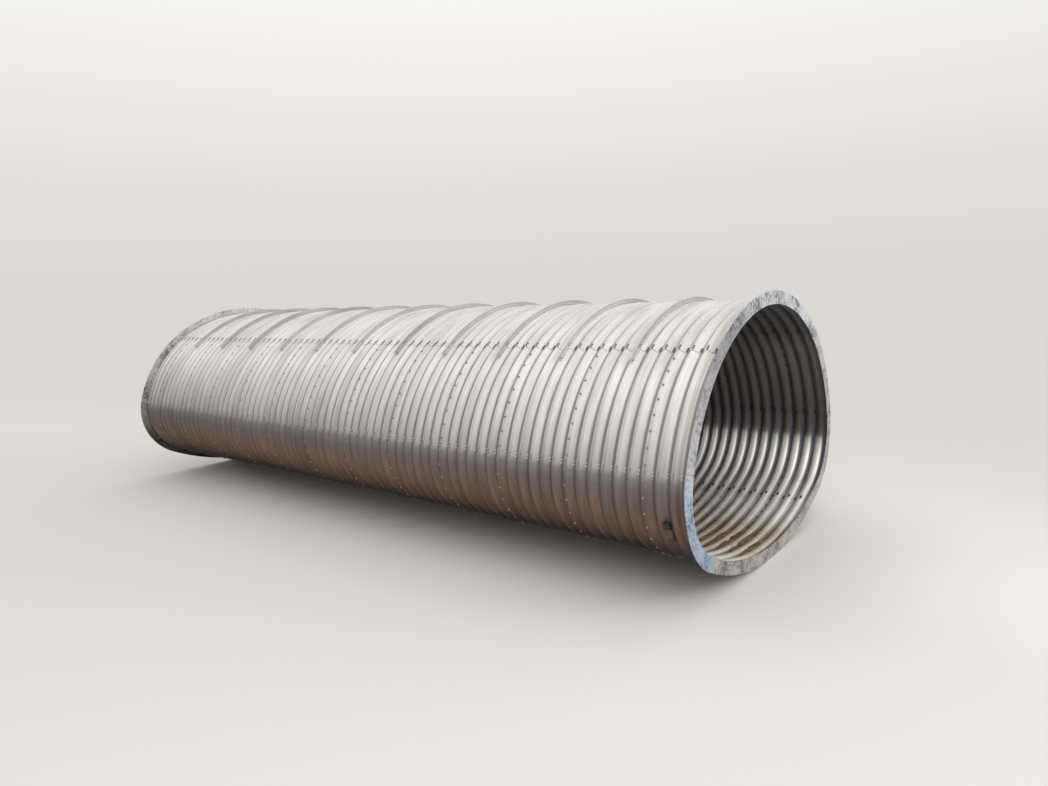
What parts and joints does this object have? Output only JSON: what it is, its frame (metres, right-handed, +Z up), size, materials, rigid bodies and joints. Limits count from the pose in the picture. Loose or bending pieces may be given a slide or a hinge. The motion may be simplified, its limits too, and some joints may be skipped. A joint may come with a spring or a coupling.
{
  "type": "corrugated culvert barrel",
  "caption": "Long pipe-arch culvert barrel bolted up from curved corrugated aluminium plates, with crown ribs outside and a wide flat ring on each end.",
  "frame": {"origin": "middle of the barrel's length and width, at its lowest edge", "axes": "+Y along the barrel away from the near end, +Z up, +X to the right seen from the near end"},
  "size_m": [6.7838, 16.5452, 4.6463],
  "materials": {
    "corrugated_plates": "mill finish, dull satin, with fine roll streaks",
    "ribs": "extruded, dull satin",
    "end_rings": "mottled and stained mill finish"
  },
  "bodies": {
    "root": {"crown_plate_01": "corrugated_plates", "crown_plate_02": "corrugated_plates", "crown_plate_03": "corrugated_plates", "crown_plate_04": "corrugated_plates", "crown_plate_05": "corrugated_plates", "crown_plate_06": "corrugated_plates", "crown_plate_07": "corrugated_plates", "crown_plate_08": "corrugated_plates", "crown_plate_09": "corrugated_plates", "crown_plate_10": "corrugated_plates", "crown_plate_11": "corrugated_plates", "crown_plate_12": "corrugated_plates", "crown_plate_13": "corrugated_plates", "side_plates_01": "corrugated_plates", "side_plates_02": "corrugated_plates", "side_plates_03": "corrugated_plates", "side_plates_04": "corrugated_plates", "side_plates_05": "corrugated_plates", "side_plates_06": "corrugated_plates", "side_plates_07": "corrugated_plates", "side_plates_08": "corrugated_plates", "side_plates_09": "corrugated_plates", "side_plates_10": "corrugated_plates", "side_plates_11": "corrugated_plates", "side_plates_12": "corrugated_plates", "side_plates_13": "corrugated_plates", "invert_plate_01": "corrugated_plates", "invert_plate_02": "corrugated_plates", "invert_plate_03": "corrugated_plates", "invert_plate_04": "corrugated_plates", "invert_plate_05": "corrugated_plates", "invert_plate_06": "corrugated_plates", "invert_plate_07": "corrugated_plates", "invert_plate_08": "corrugated_plates", "invert_plate_09": "corrugated_plates", "invert_plate_10": "corrugated_plates", "invert_plate_11": "corrugated_plates", "invert_plate_12": "corrugated_plates", "invert_plate_13": "corrugated_plates", "crown_ribs": "ribs", "near_end_ring": "end_rings", "far_end_ring": "end_rings"}
  },
  "joints": []
}
